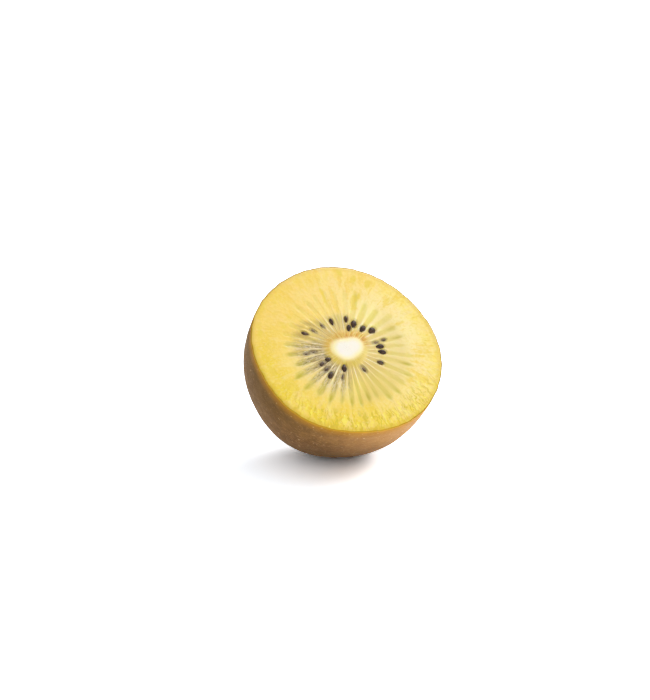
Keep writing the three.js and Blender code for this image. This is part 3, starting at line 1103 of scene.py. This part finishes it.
def with_sides(s, f, skin):
    """Lays over the skin painted light and shade: a painted rim light on the lower right, painted shade on
    the far left, a painted amber glow below the cut, the golden line of its cut edge, and painted shade
    low down where it rests.
    """
    height = s.parts(s.node("ShaderNodeTexCoord", output="Object"))[2]
    # Painted light: a peach rim light on the lower right, in front
    painted_rim_share = (f.x * 0.75 - f.y * 0.66).ease(4, 27) * f.y.ease(-9, -19)
    # Painted glow: an amber band below the cut, as of light shining through the flesh into the thin skin
    near_cut = (f.z - f.y.ease(0, 20) * 1.6).ease(-5.0, -0.5)
    return s.layered(
        skin,
        (painted_rim_share * 0.26, SKIN.warm_side),
        # painted shade on the far left
        (f.x.ease(-17, -27) * 0.5, SKIN.dark_side),
        (near_cut * 0.6, SKIN.near_cut),
        (f.z.ease(-1.2, 0.0) * 0.7, SKIN.cut_edge),
        # painted shade: darker low down, towards the floor that the fruit rests on
        (height.ease(12 * MM, 0) * 0.65, SKIN.foot),
    )


def skin_material():
    s = Shader("kiwi_skin")
    f = skin_fields(s)
    relief = s.bump(f.down, 0.12, 0.8, s.bump(f.speck, 0.05))
    return s.finish(
        Base_Color=with_sides(s, f, with_scar(s, f, brown_skin(s, f))),
        Roughness=f.mottle.between(0.6, 0.75),
        Specular_IOR_Level=0.02,
        Sheen_Weight=0.2,
        Sheen_Roughness=0.3,
        Sheen_Tint=SKIN.sheen,
        Subsurface_Weight=0.1,
        Subsurface_Radius=(1.0, 0.5, 0.2),
        Subsurface_Scale=0.8 * MM,
        Normal=s.bump(f.dot, 0.1, 1.0, relief),
    )


def seed_material():
    s = Shader("seed_coat")
    place = s.vector_attribute("place")
    veil = s.attribute("veil")
    net = s.noise(place, 0.3, 3, 0.6)
    fibres = s.noise(s.vector_attribute("spoke"), 1.1, 2, 0.5).ease(0.48, 0.56)
    coat = s.blend(net.ease(0.35, 0.7), SEED.dark, SEED.light)
    return s.finish(
        Base_Color=s.layered(coat, (veil * 0.45, SEED.veil), (veil * fibres * 0.7, SEED.fibre)),
        Roughness=0.34,
        Specular_IOR_Level=0.4,
        Normal=s.bump(net, 0.04),
    )


def husk_material(name, dark, light):
    s = Shader(name)
    place = s.vector_attribute("place")
    fibre = s.noise(place, 0.5, 4, 0.65)
    husk = s.blend(fibre.ease(0.3, 0.7), dark, light)
    return s.finish(Base_Color=husk, Roughness=0.85, Normal=s.bump(fibre, 0.12))


def floor_material():
    s = Shader("pale_floor")
    place = s.node("ShaderNodeTexCoord", output="Object")
    tone = s.noise(place, 0.4, 2)
    paint = s.blend(tone, [channel * 0.98 for channel in FLOOR_WHITE], FLOOR_WHITE)
    return s.finish(Base_Color=paint, Roughness=0.9)


# The studio


def make_floor():
    bpy.ops.object.select_all(action="DESELECT")
    bpy.ops.mesh.primitive_plane_add(size=FLOOR_SIZE)
    floor = bpy.context.object
    floor.name = "floor"
    floor.data.materials.append(floor_material())


def area_light(name, place, size, watts):
    """A square softbox that faces the fruit."""
    lamp = bpy.data.lights.new(name, "AREA")
    lamp.size = size
    lamp.energy = watts
    box = bpy.data.objects.new(name, lamp)
    box.location = place
    towards = Vector(SOFTBOX_AIM) - Vector(place)
    box.rotation_euler = towards.to_track_quat("-Z", "Y").to_euler()
    bpy.context.collection.objects.link(box)


def make_lights():
    world = bpy.data.worlds.new("studio")
    world.use_nodes = True
    background = world.node_tree.nodes["Background"]
    background.inputs["Color"].default_value = (1, 1, 1, 1)
    background.inputs["Strength"].default_value = SKY_STRENGTH
    bpy.context.scene.world = world
    for softbox in SOFTBOXES:
        area_light(*softbox)
    bpy.context.scene.view_settings.view_transform = "Standard"


def make_camera():
    azimuth, elevation = math.radians(CAMERA_AZIMUTH), math.radians(CAMERA_ELEVATION)
    level = math.cos(elevation)
    back = Vector((math.sin(azimuth) * level, -math.cos(azimuth) * level, math.sin(elevation)))
    turn = back.to_track_quat("Z", "Y")
    right, up = turn @ Vector((1, 0, 0)), turn @ Vector((0, 1, 0))
    cut_middle = RESTING.translation
    data = bpy.data.cameras.new("camera")
    data.sensor_width = SENSOR
    data.lens = LENS
    camera = bpy.data.objects.new("camera", data)
    across, above = CAMERA_OFFSET
    camera.location = cut_middle + (back * CAMERA_DISTANCE - right * across - up * above) * MM
    camera.rotation_euler = turn.to_euler()
    bpy.context.collection.objects.link(camera)
    bpy.context.scene.camera = camera


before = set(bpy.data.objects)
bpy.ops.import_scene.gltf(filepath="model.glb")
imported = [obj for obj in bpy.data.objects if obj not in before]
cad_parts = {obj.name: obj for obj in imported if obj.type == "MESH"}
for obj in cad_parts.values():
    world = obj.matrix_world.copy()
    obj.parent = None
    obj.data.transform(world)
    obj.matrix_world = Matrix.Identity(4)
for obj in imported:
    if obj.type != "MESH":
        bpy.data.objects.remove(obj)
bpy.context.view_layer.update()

make_camera()
make_lights()
make_floor()
pieces = {
    make_flesh(): "flesh",
    make_skin(): "skin",
    make_seeds(): "seed",
    make_stub(): "stalk",
    make_sepals(): "stalk",
}
for piece, slot in pieces.items():
    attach(piece, "root")
    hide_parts("kiwi_half")
